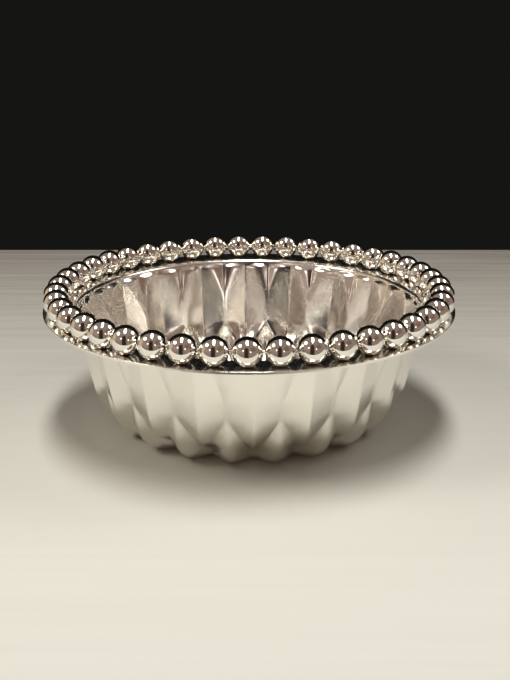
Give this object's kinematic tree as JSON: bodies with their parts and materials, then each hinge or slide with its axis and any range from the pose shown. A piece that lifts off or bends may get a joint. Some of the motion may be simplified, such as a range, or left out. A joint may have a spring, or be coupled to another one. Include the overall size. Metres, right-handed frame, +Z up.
{
  "type": "offering bowl",
  "caption": "Round offering bowl in polished silver plate: one pressed sheet with a folded, fluted wall, a flat flange and a ring of balls seated on the flange.",
  "frame": {"origin": "centre of the base, on the surface that the bowl stands on", "axes": "+Z up along the bowl's axis; the picture looks along +Y, with +X to the right"},
  "size_m": [0.154, 0.154, 0.0552],
  "materials": {
    "shell": "mirror-polished silver plate over brass sheet",
    "ball": "mirror-polished silver plate over solid brass balls",
    "wire": "drawn wire under silver plate"
  },
  "bodies": {
    "root": {"bowl_shell": "shell", "bead_wire": "wire", "bead_01": "ball", "bead_02": "ball", "bead_03": "ball", "bead_04": "ball", "bead_05": "ball", "bead_06": "ball", "bead_07": "ball", "bead_08": "ball", "bead_09": "ball", "bead_10": "ball", "bead_11": "ball", "bead_12": "ball", "bead_13": "ball", "bead_14": "ball", "bead_15": "ball", "bead_16": "ball", "bead_17": "ball", "bead_18": "ball", "bead_19": "ball", "bead_20": "ball", "bead_21": "ball", "bead_22": "ball", "bead_23": "ball", "bead_24": "ball", "bead_25": "ball", "bead_26": "ball", "bead_27": "ball", "bead_28": "ball", "bead_29": "ball", "bead_30": "ball", "bead_31": "ball", "bead_32": "ball", "bead_33": "ball", "bead_34": "ball", "bead_35": "ball", "bead_36": "ball", "bead_37": "ball", "bead_38": "ball", "bead_39": "ball", "bead_40": "ball", "bead_41": "ball", "bead_42": "ball", "bead_43": "ball"}
  },
  "joints": []
}
